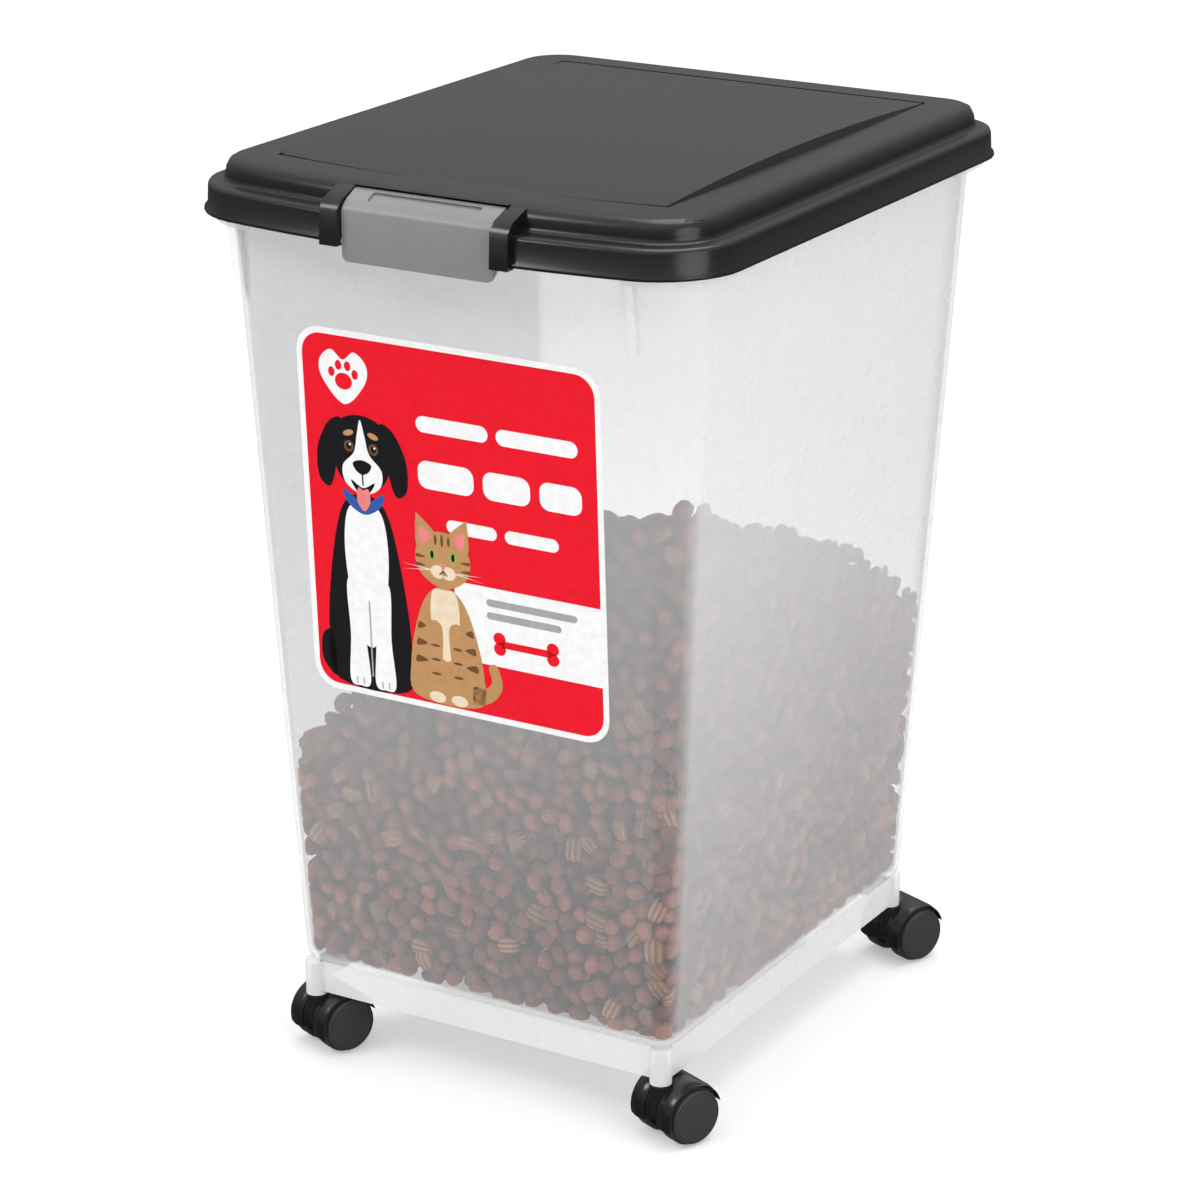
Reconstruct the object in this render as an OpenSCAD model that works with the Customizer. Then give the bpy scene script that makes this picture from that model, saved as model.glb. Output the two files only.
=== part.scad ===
// Wheeled pet food bin: clear tapered tub, hinged lid with a front latch,
// four twin-wheel casters, a front label and a removable load of kibble.
// Millimetres, +Z up. X runs along the front face, -Y is the front.
// The origin is on the floor under the middle of the whole bin.

/* [Tub] */
// Outer width of the tub under its rim
tub_top_w = 349; // [330:1:352]
// Outer depth of the tub under its rim
tub_top_d = 405; // [390:1:408]
// Outer width of the tub at its floor
tub_bottom_w = 293; // [284:1:300]
// Outer depth of the tub at its floor
tub_bottom_d = 349; // [340:1:356]
// Height of the tapered walls
wall_h = 528; // [480:2:560]
// Wall thickness
tub_wall = 2.6; // [2.2:0.1:3.2]
// Plan radius of the wall corners at the rim
top_corner_r = 26; // [20:1:30]
// Plan radius of the wall corners at the floor
bottom_corner_r = 15; // [12:1:18]
// Height of the skirt under the floor
base_h = 27.3; // [24:0.1:32]

/* [Lid] */
// Width over the lid lip
lid_w = 385; // [384:0.5:390]
// Depth of the lid lip at its corners
lid_d = 442; // [441:0.5:446]
// How far the middle of the front edge bows forward
lid_bow = 20; // [17:0.5:22]
// Plan radius of the lid corners
lid_corner_r = 46; // [40:1:50]
// Width of the raised middle panel
panel_w = 286; // [240:1:292]
// Depth of the raised middle panel
panel_d = 353; // [300:1:356]
// How far the panel arches up in its middle
panel_rise = 4.8; // [3:0.1:6]

/* [Latch] */
// Width of the latch
latch_w = 110; // [90:1:112]
// How far the latch hangs below its pivot
latch_drop = 34; // [32:0.5:38]

/* [Casters] */
// Wheel diameter
wheel_d = 41; // [38:0.5:42]
// Distance of the axle behind the swivel stem
trail = 13; // [11:0.5:15]
// Width over both wheels
caster_w = 46; // [42:0.5:48]
// Swivel angle at rest
caster_angle = -21.8; // [-45:0.1:45]

/* [Label] */
// Width of the label
label_w = 227; // [150:1:235]
// Height of the label
label_h = 252; // [180:1:260]

/* [Kibble] */
// Height of the heap at the front right corner
heap_high = 446; // [300:1:480]
// Height of the level part of the heap
heap_low = 215; // [120:1:240]

/* [Hidden] */
$fn = 64;

// Small distance that lets a cut pass cleanly through a face
over = 0.5;
// Radial clearance of every pin and stem in its hole
pin_clear = 0.05;

// Heights
base_z = 44.2;
floor_z = base_z + base_h;
rim_z = floor_z + wall_h;
lip_z = rim_z - 0.5;
ledge_z = lip_z + 19;
border_z = lip_z + 34;
flange_top_z = lip_z + 4;
rim_top_z = lip_z + 23;
shell = 2.5;

// How far the front edge of the raised panel bows forward
panel_bow = 11.2;

// Hinge axis at the back, latch pivot at the front
hinge_y = lid_d / 2 + 7;
hinge_z = lip_z + 4;
hinge_x = 110;
hinge_r = 5.5;
hinge_pin_r = 3;
pivot_y = -lid_d / 2 - lid_bow + 13;
pivot_z = lip_z + 22;
latch_pin_r = 2;
latch_swing_r = 13.45;
cheek_w = 13;
notch_half = latch_w / 2 + 0.6;

// Moves the bin so the middle of its depth is over the origin
y_shift = (lid_d / 2 + lid_bow - (hinge_y + hinge_r)) / 2;

// Casters
wheel_r = wheel_d / 2;
hood_r = 23;
hood_half = caster_w / 2 - 2.4;
web_half = 7;
pocket_r = wheel_r + 1.1;
axle_r = 3;
axle_half = 19;
stem_r = 4;
post_r = 7.5;
post_drop = 2.4;
stem_x = 137;
stem_y = 168;
stem_bottom_z = 23;
stem_top_z = base_z + 16;

tub_tilt = atan((tub_top_d - tub_bottom_d) / 2 / wall_h);

// Plan outline: rounded rectangle whose front edge bows forward by b
function bowed(x, y, w, d, b) = y < 0 ? y - b * (1 - pow(2 * x / w, 2)) * min(1, -2 * y / d) : y;
function corner(cx, cy, r, a, n) = [for (k = [0:n]) [cx + r * cos(a + 90 * k / n), cy + r * sin(a + 90 * k / n)]];
function edge(w, d, r, n) = [for (k = [1:n - 1]) [(w / 2 - r) * (2 * k / n - 1), -d / 2]];
function outline(w, d, r, b, n = 8, m = 12) =
    [for (p = concat(corner(w / 2 - r, d / 2 - r, r, 0, n),
                     corner(-w / 2 + r, d / 2 - r, r, 90, n),
                     corner(-w / 2 + r, -d / 2 + r, r, 180, n),
                     edge(w, d, r, m),
                     corner(w / 2 - r, -d / 2 + r, r, 270, n)))
        [p[0], bowed(p[0], p[1], w, d, b)]];

// Solid through a stack of outlines; each level is [width, depth, radius, bow, z]
module loft(levels) {
    rings = [for (v = levels) outline(v[0], v[1], v[2], v[3])];
    count = len(rings[0]);
    last = len(levels) - 1;
    points = [for (j = [0:last]) for (p = rings[j]) [p[0], p[1], levels[j][4]]];
    sides = [for (j = [0:last - 1]) for (i = [0:count - 1])
             let (a = j * count + i, b = j * count + (i + 1) % count, c = a + count, d = b + count)
             for (t = [[a, c, d], [a, d, b]]) t];
    bottom = [[for (i = [0:count - 1]) i]];
    top = [[for (i = [count - 1:-1:0]) last * count + i]];
    polyhedron(points = points, faces = concat(bottom, sides, top), convexity = 6);
}

// Level of the tub wall: inset from the outer face at height z
function tub_level(inset, z) =
    let (t = (z - floor_z) / wall_h)
    [tub_bottom_w + (tub_top_w - tub_bottom_w) * t - 2 * inset,
     tub_bottom_d + (tub_top_d - tub_bottom_d) * t - 2 * inset,
     bottom_corner_r + (top_corner_r - bottom_corner_r) * t - inset * 0.7, 0, z];

// Level of the lid: inset from the lip at height z
function lid_level(inset, z) =
    [lid_w - 2 * inset, lid_d - 2 * inset, lid_corner_r - inset,
     lid_bow * pow((lid_w - 2 * inset) / lid_w, 2), z];

module rounded_slab(w, d, r, h) {
    linear_extrude(h) {
        square([w - 2 * r, d], center = true);
        square([w, d - 2 * r], center = true);
        for (x = [-1, 1], y = [-1, 1]) translate([x * (w / 2 - r), y * (d / 2 - r)]) circle(r);
    }
}

module along_x(x, y, z, r, length) {
    translate([x - length / 2, y, z]) rotate([0, 90, 0]) cylinder(r = r, h = length);
}

// Extrudes a profile drawn in the YZ plane along X, centred on x
module slice(x, thickness, points) {
    translate([x - thickness / 2, 0, 0]) rotate([90, 0, 90]) linear_extrude(thickness) polygon(points);
}

module placed() {
    translate([0, y_shift, 0]) children();
}

// ---- Tub ----

module flange() {
    difference() {
        loft([lid_level(7.5, lip_z - 6), lid_level(7.5, flange_top_z)]);
        loft([lid_level(10, lip_z - 7), lid_level(10, flange_top_z - shell)]);
        translate([0, -lid_d / 2, lip_z - 10]) cube([274, 160, 15], center = true);
        translate([0, 0, lip_z - 10]) cube([600, 280, 15], center = true);
        translate([0, lid_d / 2, lip_z - 10]) cube([274, 160, 15], center = true);
        translate([-59, -lid_d / 2 - 60, lip_z - 20]) cube([118, pivot_y + lid_d / 2 + 60, 40]);
    }
    translate([-59, pivot_y, lip_z - 2.5]) cube([118, 2.5, flange_top_z - lip_z + 2.5]);
}

module front_rib(x) {
    y_top = -tub_top_d / 2;
    slice(x, 8, [[y_top - 7, rim_z - 2], [y_top + 1.2, rim_z - 2], [y_top + 4, rim_z - 56], [y_top + 1.4, rim_z - 56]]);
}

module hinge_ear(x) {
    y_back = hinge_y + hinge_r;
    slice(x, 4, [[200, hinge_z - 18], [hinge_y - 2, hinge_z - 18], [y_back, hinge_z - 10], [y_back, hinge_z],
                 [hinge_y - hinge_r, hinge_z], [hinge_y - hinge_r, hinge_z - 6], [200, hinge_z - 6]]);
    along_x(x, hinge_y, hinge_z, hinge_r, 4);
}

module at_stems() {
    for (x = [-1, 1], y = [-1, 1]) translate([x * stem_x, y * stem_y, 0]) children();
}

module tub() {
    color([0.88, 0.89, 0.9]) placed() difference() {
        union() {
            loft([tub_level(6.5, floor_z - 5.5), tub_level(3, floor_z - 3.5),
                  tub_level(0.8, floor_z), tub_level(0, floor_z + 5), tub_level(0, rim_z + 1)]);
            translate([0, 0, base_z]) difference() {
                rounded_slab(tub_bottom_w - 9.2, tub_bottom_d - 9.2, 10, base_h - 2);
                translate([0, 0, -over]) rounded_slab(tub_bottom_w - 14.2, tub_bottom_d - 14.2, 7.5, base_h - 2);
            }
            at_stems() translate([0, 0, base_z - post_drop]) cylinder(r = post_r, h = base_h - 2);
            flange();
            translate([0, 0, lip_z - 1]) rounded_slab(tub_top_w - 4, tub_top_d - 4, 22, rim_top_z - lip_z + 1);
            front_rib(132.5);
            front_rib(-159);
            for (x = [-1, 1], e = [-8, 8]) hinge_ear(x * hinge_x + e);
        }
        loft([tub_level(tub_wall + 6, floor_z - 1.5), tub_level(tub_wall + 2, floor_z),
              tub_level(tub_wall, floor_z + 4), tub_level(tub_wall, lip_z)]);
        translate([0, 0, lip_z - 1.2]) rounded_slab(tub_top_w - 9, tub_top_d - 9, 19.5, 40);
        at_stems() translate([0, 0, base_z - post_drop - over]) cylinder(r = stem_r + pin_clear, h = 20);
        for (x = [-1, 1]) along_x(x * hinge_x, hinge_y, hinge_z, hinge_pin_r + pin_clear, 30);
    }
}

module label() {
    color([0.86, 0.05, 0.12]) placed()
    translate([-5, -tub_bottom_d / 2, floor_z]) rotate([90 + tub_tilt, 0, 0])
    translate([0, 333.5, 0]) rounded_slab(label_w, label_h, 18, 0.3);
}

// Everything below a plane through a point, with the plane's rise along x and along y
module below_plane(x, y, z, rise_x, rise_y) {
    translate([x, y, z]) rotate(a = atan(norm([rise_x, rise_y])), v = [rise_y, -rise_x, 0])
    translate([-700, -700, -900]) cube([1400, 1400, 900]);
}

module kibble_fill() {
    color([0.45, 0.3, 0.22]) placed() intersection() {
        loft([tub_level(tub_wall + 7, floor_z - 1), tub_level(tub_wall + 2.6, floor_z + 1),
              tub_level(tub_wall + 0.8, floor_z + 5), tub_level(tub_wall + 0.8, rim_z - 40)]);
        union() {
            intersection() {
                below_plane(165, -190, heap_high + 1, 0.27, -0.38);
                below_plane(160, 60, heap_high - 94, 0.9, -0.62);
            }
            translate([-250, -250, 0]) cube([500, 500, heap_low]);
        }
    }
}

module hinge_pin(side) {
    color([0.72, 0.73, 0.75]) placed() along_x(side * hinge_x, hinge_y, hinge_z, hinge_pin_r, 22);
}

module hinge_pin_left() {
    hinge_pin(-1);
}

module hinge_pin_right() {
    hinge_pin(1);
}

// ---- Lid ----

module panel_outline(grow, z0, z1, draw_in) {
    loft([[panel_w + 2 * grow, panel_d + 2 * grow, 2, panel_bow, z0],
          [panel_w + 2 * grow - 2 * draw_in, panel_d + 2 * grow - 2 * draw_in, 2, panel_bow, z1]]);
}

// Arched panel of the given thickness below its outer face; it ends almost level with the border
module arch(drop) {
    half = (panel_d + panel_bow) / 2;
    arch_r = (pow(half, 2) + pow(panel_rise, 2)) / (2 * panel_rise);
    translate([-panel_w, -panel_bow / 2, border_z - 0.2 + panel_rise - arch_r - drop]) rotate([0, 90, 0])
    cylinder(r = arch_r, h = 2 * panel_w, $fn = 720);
}

module cheek(side) {
    x = side * (notch_half + cheek_w / 2);
    slice(x, cheek_w, [[pivot_y - 13, lip_z - 2], [pivot_y - 5.5, lip_z - 2], [pivot_y - 5.5, flange_top_z + 1.5],
                       [pivot_y + 20, flange_top_z + 1.5], [pivot_y + 20, border_z - 1], [pivot_y + 8, border_z - 2],
                       [pivot_y - 6, border_z - 7], [pivot_y - 12, border_z - 13]]);
}

module knuckle(side) {
    x = side * hinge_x;
    along_x(x, hinge_y, hinge_z, hinge_r, 11.2);
    slice(x, 11.2, [[hinge_y - 11, hinge_z - 3], [hinge_y, hinge_z - 3], [hinge_y, hinge_z + 5.5], [hinge_y - 11, hinge_z + 9]]);
}

module lid() {
    color([0.16, 0.16, 0.17]) placed() difference() {
        union() {
            difference() {
                union() {
                    difference() {
                        loft([lid_level(0.3, lip_z), lid_level(0, lip_z + 0.8), lid_level(0.3, lip_z + 2),
                              lid_level(2.2, lip_z + 4), lid_level(2.8, ledge_z - 3), lid_level(3.8, ledge_z - 0.9),
                              lid_level(6, ledge_z), lid_level(11.5, ledge_z + 0.3), lid_level(13.3, ledge_z + 1.4),
                              lid_level(14, ledge_z + 4), lid_level(14.6, ledge_z + 8), lid_level(16.6, ledge_z + 12),
                              lid_level(20, ledge_z + 14.3), lid_level(25, border_z)]);
                        panel_outline(0.9, border_z - 1.2, border_z + 3, -0.2);
                    }
                    intersection() {
                        panel_outline(0, border_z - 2, border_z + 6, 3.6);
                        arch(0);
                    }
                    for (side = [-1, 1]) cheek(side);
                }
                loft([lid_level(2.8, lip_z - 1), lid_level(3, lip_z + 1.5), lid_level(4.8, lip_z + 4),
                      lid_level(5.4, ledge_z - 4.5), lid_level(8, ledge_z - 2.6), lid_level(14.5, ledge_z - 2),
                      lid_level(16.6, ledge_z + 1), lid_level(17.2, ledge_z + 8), lid_level(20, ledge_z + 11),
                      lid_level(26, border_z - shell - 1)]);
                intersection() {
                    panel_outline(-4, border_z - 5, border_z + 6, 3.6);
                    arch(shell);
                }
                along_x(0, pivot_y, pivot_z, latch_swing_r + 0.55, 2 * notch_half);
                translate([-notch_half, pivot_y - 40, lip_z - 10]) cube([2 * notch_half, 40, 60]);
                translate([-notch_half, pivot_y - 1, lip_z - 10]) cube([2 * notch_half, 10, pivot_z - lip_z + 10]);
            }
            intersection() {
                difference() {
                    along_x(0, pivot_y, pivot_z, latch_swing_r + 2.8, 2 * notch_half + 1);
                    along_x(0, pivot_y, pivot_z, latch_swing_r + 0.55, 2 * notch_half + 2);
                }
                translate([-notch_half - 1, pivot_y, lip_z]) cube([2 * notch_half + 2, 30, border_z - lip_z - 0.6]);
            }
            for (side = [-1, 1]) cheek_core(side);
            translate([0, 0, rim_top_z + 4.5]) difference() {
                rounded_slab(tub_top_w - 1, tub_top_d - 1, 23, 4.5);
                translate([0, 0, -over]) rounded_slab(tub_top_w - 15, tub_top_d - 15, 16, 6);
            }
            for (side = [-1, 1]) knuckle(side);
        }
        along_x(0, pivot_y, pivot_z, latch_pin_r + pin_clear, 2 * notch_half + 16);
        along_x(0, hinge_y, hinge_z, hinge_pin_r + pin_clear, 2 * hinge_x + 40);
    }
}

// Solid boss inside each cheek that carries the latch pin
module cheek_core(side) {
    x = side * (notch_half + 5);
    along_x(x, pivot_y, pivot_z, 6, 10);
}

module lid_gasket() {
    color([0.25, 0.25, 0.26]) placed() translate([0, 0, rim_top_z + 0.4]) difference() {
        rounded_slab(tub_top_w - 2, tub_top_d - 2, 25, 4.1);
        translate([0, 0, -over]) rounded_slab(tub_top_w - 12, tub_top_d - 12, 20, 6);
    }
}

module latch_pin() {
    color([0.72, 0.73, 0.75]) placed() along_x(0, pivot_y, pivot_z, latch_pin_r, 2 * notch_half + 14);
}

// ---- Latch ----

module latch() {
    face_y = pivot_y - 8;
    color([0.55, 0.55, 0.56]) placed() difference() {
        union() {
            intersection() {
                slice(0, latch_w, [[face_y, pivot_z - latch_drop], [face_y, pivot_z - 2], [face_y + 1.2, pivot_z + 0.5],
                                   [face_y + 6, pivot_z + 4.6], [pivot_y + 9, pivot_z + 9.8], [pivot_y + 10.8, pivot_z + 6.5],
                                   [pivot_y + 3, pivot_z + 1], [pivot_y - 3, pivot_z - 4], [face_y + 3, pivot_z - 7],
                                   [face_y + 3, pivot_z - 27], [pivot_y - 0.5, pivot_z - 25], [pivot_y - 0.5, pivot_z - 27],
                                   [face_y + 3, pivot_z - 30.5], [face_y + 3, pivot_z - latch_drop]]);
                translate([0, pivot_y + 30, pivot_z - latch_drop + 30]) rotate([90, 0, 0])
                rounded_slab(latch_w, 60, 4.5, 60);
            }
            along_x(0, pivot_y, pivot_z, 4.6, latch_w);
        }
        along_x(0, pivot_y, pivot_z, latch_pin_r + pin_clear, latch_w + 2);
        translate([0, face_y + 6, pivot_z + 4.6]) rotate([25.3, 0, 0]) translate([0, 4.6, -1.5]) rounded_slab(80, 9.4, 2, 8);
    }
}

// ---- Casters ----

// Puts a caster part, drawn with its stem on the Z axis, under one corner
module at_corner(sx, sy) {
    placed() translate([sx * stem_x, sy * stem_y, 0]) rotate([0, 0, caster_angle]) children();
}

module stem(sx, sy) {
    color([0.72, 0.73, 0.75]) at_corner(sx, sy) translate([0, 0, stem_bottom_z])
    cylinder(r = stem_r, h = stem_top_z - stem_bottom_z);
}

module hood(sx, sy) {
    color([0.13, 0.13, 0.14]) at_corner(sx, sy) difference() {
        along_x(0, trail, wheel_r, hood_r, 2 * hood_half);
        for (side = [-1, 1]) along_x(side * (web_half + 20), trail, wheel_r, pocket_r, 40);
        translate([0, trail, wheel_r]) rotate([17, 0, 0]) translate([-40, -40, -60]) cube([80, 80, 60]);
        translate([0, 0, 36]) cylinder(r = post_r + 2, h = 20);
        translate([0, -11.4, 10]) rotate([0, 0, 45]) cube([8, 8, 60], center = true);
        translate([0, 0, stem_bottom_z - 1]) cylinder(r = stem_r + pin_clear, h = 20);
        along_x(0, trail, wheel_r, axle_r + pin_clear, 60);
    }
    color([0.13, 0.13, 0.14]) at_corner(sx, sy) difference() {
        along_x(0, trail, wheel_r, 6, 2 * web_half);
        along_x(0, trail, wheel_r, axle_r + pin_clear, 60);
    }
}

module axle(sx, sy) {
    color([0.72, 0.73, 0.75]) at_corner(sx, sy) along_x(0, trail, wheel_r, axle_r, 2 * axle_half);
}

module wheel(sx, sy, side) {
    width = caster_w / 2 - web_half - 1;
    color([0.24, 0.24, 0.25]) at_corner(sx, sy) difference() {
        along_x(side * (web_half + 1 + width / 2), trail, wheel_r, wheel_r, width);
        along_x(side * (axle_half + 0.5) / 2, trail, wheel_r, axle_r + pin_clear, axle_half + 0.5);
        difference() {
            along_x(side * (web_half + 5), trail, wheel_r, wheel_r - 3.5, 12);
            along_x(side * (web_half + 5), trail, wheel_r, 6.5, 14);
        }
    }
}

module stem_front_left() { stem(-1, -1); }
module stem_front_right() { stem(1, -1); }
module stem_back_left() { stem(-1, 1); }
module stem_back_right() { stem(1, 1); }
module hood_front_left() { hood(-1, -1); }
module hood_front_right() { hood(1, -1); }
module hood_back_left() { hood(-1, 1); }
module hood_back_right() { hood(1, 1); }
module axle_front_left() { axle(-1, -1); }
module axle_front_right() { axle(1, -1); }
module axle_back_left() { axle(-1, 1); }
module axle_back_right() { axle(1, 1); }
module wheel_front_left_in() { wheel(-1, -1, -1); }
module wheel_front_right_in() { wheel(1, -1, -1); }
module wheel_back_left_in() { wheel(-1, 1, -1); }
module wheel_back_right_in() { wheel(1, 1, -1); }
module wheel_front_left_out() { wheel(-1, -1, 1); }
module wheel_front_right_out() { wheel(1, -1, 1); }
module wheel_back_left_out() { wheel(-1, 1, 1); }
module wheel_back_right_out() { wheel(1, 1, 1); }

tub();
label();
kibble_fill();
hinge_pin_left();
hinge_pin_right();
lid();
lid_gasket();
latch_pin();
latch();
stem_front_left();
stem_front_right();
stem_back_left();
stem_back_right();
hood_front_left();
hood_front_right();
hood_back_left();
hood_back_right();
axle_front_left();
axle_front_right();
axle_back_left();
axle_back_right();
wheel_front_left_in();
wheel_front_right_in();
wheel_back_left_in();
wheel_back_right_in();
wheel_front_left_out();
wheel_front_right_out();
wheel_back_left_out();
wheel_back_right_out();
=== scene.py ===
import math

import bmesh
import bpy
import numpy as np
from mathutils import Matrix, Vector
from mathutils.bvhtree import BVHTree


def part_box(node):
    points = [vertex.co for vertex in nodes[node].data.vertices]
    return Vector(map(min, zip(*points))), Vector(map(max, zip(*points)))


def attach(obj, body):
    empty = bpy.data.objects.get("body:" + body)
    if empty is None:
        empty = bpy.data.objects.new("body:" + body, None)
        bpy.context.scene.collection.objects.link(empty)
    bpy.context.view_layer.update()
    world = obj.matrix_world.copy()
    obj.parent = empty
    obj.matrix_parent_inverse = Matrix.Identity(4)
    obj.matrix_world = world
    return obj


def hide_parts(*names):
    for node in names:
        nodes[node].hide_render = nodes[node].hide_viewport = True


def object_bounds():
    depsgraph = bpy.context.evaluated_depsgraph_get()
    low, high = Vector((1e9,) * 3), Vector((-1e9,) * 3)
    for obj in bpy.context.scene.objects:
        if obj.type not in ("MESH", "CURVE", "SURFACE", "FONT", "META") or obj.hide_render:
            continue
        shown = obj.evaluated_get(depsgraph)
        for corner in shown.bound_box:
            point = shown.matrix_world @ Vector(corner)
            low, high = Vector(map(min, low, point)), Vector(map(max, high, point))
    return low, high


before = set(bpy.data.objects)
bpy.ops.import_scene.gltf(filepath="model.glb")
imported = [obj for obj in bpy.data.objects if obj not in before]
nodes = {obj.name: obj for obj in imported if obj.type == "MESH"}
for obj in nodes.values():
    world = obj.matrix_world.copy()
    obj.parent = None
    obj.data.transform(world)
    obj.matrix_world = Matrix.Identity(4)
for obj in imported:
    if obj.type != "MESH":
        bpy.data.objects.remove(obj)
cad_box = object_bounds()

MM = 0.001
scene = bpy.context.scene

# ---------------------------------------------------------------- materials


class Nodes:
    """A material's node tree, with short ways to add and join nodes."""

    def __init__(self, name):
        self.material = bpy.data.materials.new(name)
        self.material.use_nodes = True
        self.tree = self.material.node_tree
        self.bsdf = self.tree.nodes["Principled BSDF"]
        self.out = self.tree.nodes["Material Output"]
        self.coords = self.add("ShaderNodeTexCoord").outputs["Object"]

    def add(self, kind, inputs=None, **settings):
        node = self.tree.nodes.new(kind)
        for key, value in settings.items():
            setattr(node, key, value)
        for key, value in (inputs or {}).items():
            self.put(node, key, value)
        return node

    def put(self, node, key, value):
        if isinstance(value, bpy.types.NodeSocket):
            self.tree.links.new(value, node.inputs[key])
        elif isinstance(value, bpy.types.Node):
            self.tree.links.new(value.outputs[0], node.inputs[key])
        else:
            node.inputs[key].default_value = value

    def set(self, **values):
        for key, value in values.items():
            self.put(self.bsdf, key.replace("_", " "), value)

    def noise(self, scale, detail=4.0, rough=0.55, stretch=None, distortion=0.0):
        where = self.coords
        if stretch:
            where = self.add("ShaderNodeMapping", {"Vector": where, "Scale": stretch}).outputs[0]
        return self.add("ShaderNodeTexNoise", {"Vector": where, "Scale": scale, "Detail": detail,
                                               "Roughness": rough, "Distortion": distortion}).outputs["Fac"]

    def remap(self, value, low, high, to_low, to_high):
        return self.add("ShaderNodeMapRange", {"Value": value, "From Min": low, "From Max": high,
                                               "To Min": to_low, "To Max": to_high}).outputs["Result"]

    def math(self, operation, a, b):
        return self.add("ShaderNodeMath", {0: a, 1: b}, operation=operation).outputs[0]

    def ramp(self, value, *stops):
        node = self.add("ShaderNodeValToRGB", {"Fac": value})
        elements = node.color_ramp.elements
        while len(elements) < len(stops):
            elements.new(0.5)
        for element, (position, colour) in zip(elements, stops):
            element.position = position
            element.color = (*colour, 1)
        return node.outputs["Color"]

    def mix(self, factor, a, b, blend="MIX"):
        node = self.add("ShaderNodeMix", data_type="RGBA", blend_type=blend)
        for index, value in ((0, factor), (6, a), (7, b)):
            if isinstance(value, tuple):
                value = (*value, 1)
            self.put(node, index, value)
        return node.outputs[2]

    def bump(self, height, distance, strength=1.0, normal=None):
        values = {"Height": height, "Distance": distance, "Strength": strength}
        if normal is not None:
            values["Normal"] = normal
        return self.add("ShaderNodeBump", values).outputs["Normal"]


def molded_plastic(name, colour, rough, specular, grain, grain_depth, spread):
    """Molded plastic: faint cloudy colour, fine grain, uneven gloss and slightly paler handled edges."""
    n = Nodes(name)
    cloud = n.noise(9.0, 3.0)
    scuff = n.noise(90.0, 6.0, 0.65, (1.0, 1.0, 2.5))
    dark = tuple(c * (1 - spread) for c in colour)
    pale = tuple(min(1, c * (1 + spread)) for c in colour)
    tint = n.ramp(cloud, (0.3, dark), (0.7, pale))
    edge = n.ramp(n.add("ShaderNodeNewGeometry").outputs["Pointiness"], (0.5, (0, 0, 0)), (0.62, (1, 1, 1)))
    wear = n.math("MULTIPLY", n.math("MULTIPLY", edge, scuff), 0.25)
    worn_colour = tuple(min(1, c * 1.8 + 0.03) for c in colour)
    n.set(Base_Color=n.mix(wear, tint, worn_colour))
    n.set(Roughness=n.remap(scuff, 0.3, 0.7, rough - 0.02, rough + 0.03))
    n.set(Specular_IOR_Level=specular)
    n.set(Normal=n.bump(n.noise(grain, 2.0, 0.6), grain_depth, 0.6))
    return n.material


def milky_plastic(name, face_on, grazing, rise=0.0, colour=(0.73, 0.735, 0.75)):
    """Thin milky plastic: each wall shows once, and looks milkier at a slant and towards the top."""
    n = Nodes(name)
    facing = n.add("ShaderNodeLayerWeight", {"Blend": 0.5}).outputs["Facing"]
    height = n.add("ShaderNodeSeparateXYZ", {"Vector": n.coords}).outputs["Z"]
    slant = n.remap(facing, 0.17, 0.51, face_on, grazing)
    haze = n.math("ADD", slant, n.remap(height, 0.13, 0.40, 0.0, rise))
    flow = n.noise(5.0, 4.0, 0.6, (1.0, 1.0, 0.35), 0.6)
    haze = n.math("MULTIPLY", haze, n.remap(flow, 0.3, 0.7, 0.98, 1.02))
    inner = n.add("ShaderNodeNewGeometry").outputs["Backfacing"]
    n.set(Alpha=n.math("MULTIPLY", haze, n.math("SUBTRACT", 1.0, inner)))
    pale = tuple(c * 1.02 for c in colour)
    n.set(Base_Color=n.ramp(flow, (0.3, colour), (0.7, pale)))
    n.set(Roughness=n.remap(n.noise(38.0, 5.0), 0.3, 0.7, 0.25, 0.31), Specular_IOR_Level=0.4)
    n.set(Normal=n.bump(n.noise(14.0, 2.0), 0.0003, 0.15))
    return n.material


def printed_paper(name, colour, rough=0.34):
    """Printed label: faint print mottling, a fine paper tooth and a soft varnish."""
    n = Nodes(name)
    mottle = n.noise(160.0, 4.0, 0.6)
    dark = tuple(c * 0.93 for c in colour)
    pale = tuple(min(1, c * 1.05) for c in colour)
    n.set(Base_Color=n.ramp(mottle, (0.3, dark), (0.7, pale)))
    n.set(Roughness=n.remap(n.noise(45.0, 3.0), 0.3, 0.7, rough - 0.05, rough + 0.08))
    n.set(Specular_IOR_Level=0.12)
    n.set(Normal=n.bump(n.noise(1400.0, 2.0), 0.00002, 0.4, n.bump(n.noise(14.0, 2.0), 0.0004, 0.25)))
    return n.material


def kibble_material(name, stops, depth=1.0):
    """Baked crumb: colour from the per-point attribute, a random brightness from piece to piece mixed with
    painted shading (lighter faces looking out of the load, darker undersides, edges and rib valleys), with
    darker pores and a greasy sheen in patches.
    """
    n = Nodes(name)
    # The attribute carries painted shading as well as the random brightness of each piece.
    tone_and_painted_shading = n.add("ShaderNodeAttribute", attribute_name="tone_and_painted_shading").outputs["Fac"]
    crumb = n.noise(420.0, 5.0, 0.65)
    pores = n.noise(1100.0, 3.0, 0.7)
    base = n.ramp(tone_and_painted_shading, *stops)
    base = n.mix(n.remap(crumb, 0.35, 0.65, 0.0, 0.55), base, (0.42, 0.36, 0.30), "MULTIPLY")
    base = n.mix(n.remap(pores, 0.62, 0.75, 0.0, 0.45), base, (0.05, 0.025, 0.015))
    n.set(Base_Color=base, Roughness=n.remap(crumb, 0.3, 0.7, 0.55, 0.8), Specular_IOR_Level=0.2)
    n.set(Normal=n.bump(crumb, 0.0006 * depth, 0.8, n.bump(pores, 0.0003, 0.5)))
    return n.material


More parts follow.
